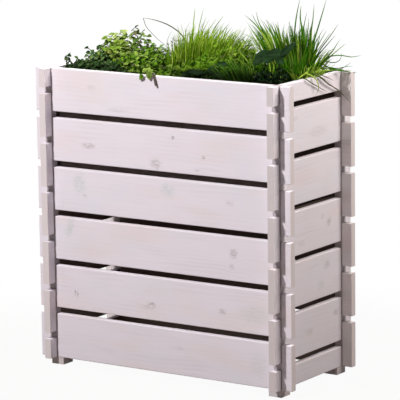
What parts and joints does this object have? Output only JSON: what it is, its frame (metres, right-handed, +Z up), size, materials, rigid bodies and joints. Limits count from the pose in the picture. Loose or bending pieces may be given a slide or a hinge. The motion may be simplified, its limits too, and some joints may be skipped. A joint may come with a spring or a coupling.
{
  "type": "raised garden bed",
  "caption": "Tall free-standing raised garden bed of notched whitewashed boards plugged together at the corners, with open gaps, block feet, soil and herbs",
  "frame": {"origin": "on the floor, under the middle of the bed", "axes": "+X along the front to the right, +Y from the front to the back, +Z up"},
  "size_m": [0.822, 0.392, 1.0461],
  "materials": {
    "whitewashed_wood": "whitewashed planed softwood, satin",
    "raw_wood": "planed softwood, matt",
    "screw_steel": "zinc plated",
    "liner_fabric": "non-woven fabric, matt",
    "potting_soil": "moist potting compost, rough",
    "mint_leaf": "small dark leaves, slightly glossy",
    "parsley_leaf": "soft light leaves, slightly glossy",
    "oregano_leaf": "small dark green leaves, slightly glossy",
    "chervil_leaf": "fine mid-green leaves",
    "lavender_stem": "thin grey stems and buds",
    "grass_blade": "narrow yellow-green blades, slightly glossy",
    "dill_leaf": "feathery bright green leaves",
    "sage_leaf": "broad dark grey-green leaves, matt",
    "chive_blade": "round green blades, slightly glossy"
  },
  "bodies": {
    "root": {"front_board_1": "whitewashed_wood", "front_board_2": "whitewashed_wood", "front_board_3": "whitewashed_wood", "front_board_4": "whitewashed_wood", "front_board_5": "whitewashed_wood", "front_board_6": "whitewashed_wood", "back_board_1": "whitewashed_wood", "back_board_2": "whitewashed_wood", "back_board_3": "whitewashed_wood", "back_board_4": "whitewashed_wood", "back_board_5": "whitewashed_wood", "back_board_6": "whitewashed_wood", "left_board_1": "whitewashed_wood", "left_board_2": "whitewashed_wood", "left_board_3": "whitewashed_wood", "left_board_4": "whitewashed_wood", "left_board_5": "whitewashed_wood", "left_board_6": "whitewashed_wood", "left_board_7": "whitewashed_wood", "right_board_1": "whitewashed_wood", "right_board_2": "whitewashed_wood", "right_board_3": "whitewashed_wood", "right_board_4": "whitewashed_wood", "right_board_5": "whitewashed_wood", "right_board_6": "whitewashed_wood", "right_board_7": "whitewashed_wood", "foot_front_left": "raw_wood", "foot_front_right": "raw_wood", "foot_back_left": "raw_wood", "foot_back_right": "raw_wood", "foot_screws": "screw_steel", "ledger_front": "raw_wood", "ledger_back": "raw_wood", "ledger_screws": "screw_steel", "floor_slat_1": "raw_wood", "floor_slat_2": "raw_wood", "floor_slat_3": "raw_wood", "floor_slat_4": "raw_wood", "floor_slat_5": "raw_wood", "floor_slat_6": "raw_wood", "liner": "liner_fabric", "soil": "potting_soil", "mint_plant": "mint_leaf", "parsley_plant": "parsley_leaf", "oregano_plant": "oregano_leaf", "chervil_plant": "chervil_leaf", "lavender_plant": "lavender_stem", "grass_tuft": "grass_blade", "dill_plant": "dill_leaf", "sage_plant": "sage_leaf", "chives_front": "chive_blade", "chives_middle": "chive_blade", "chives_right": "chive_blade"}
  },
  "joints": []
}
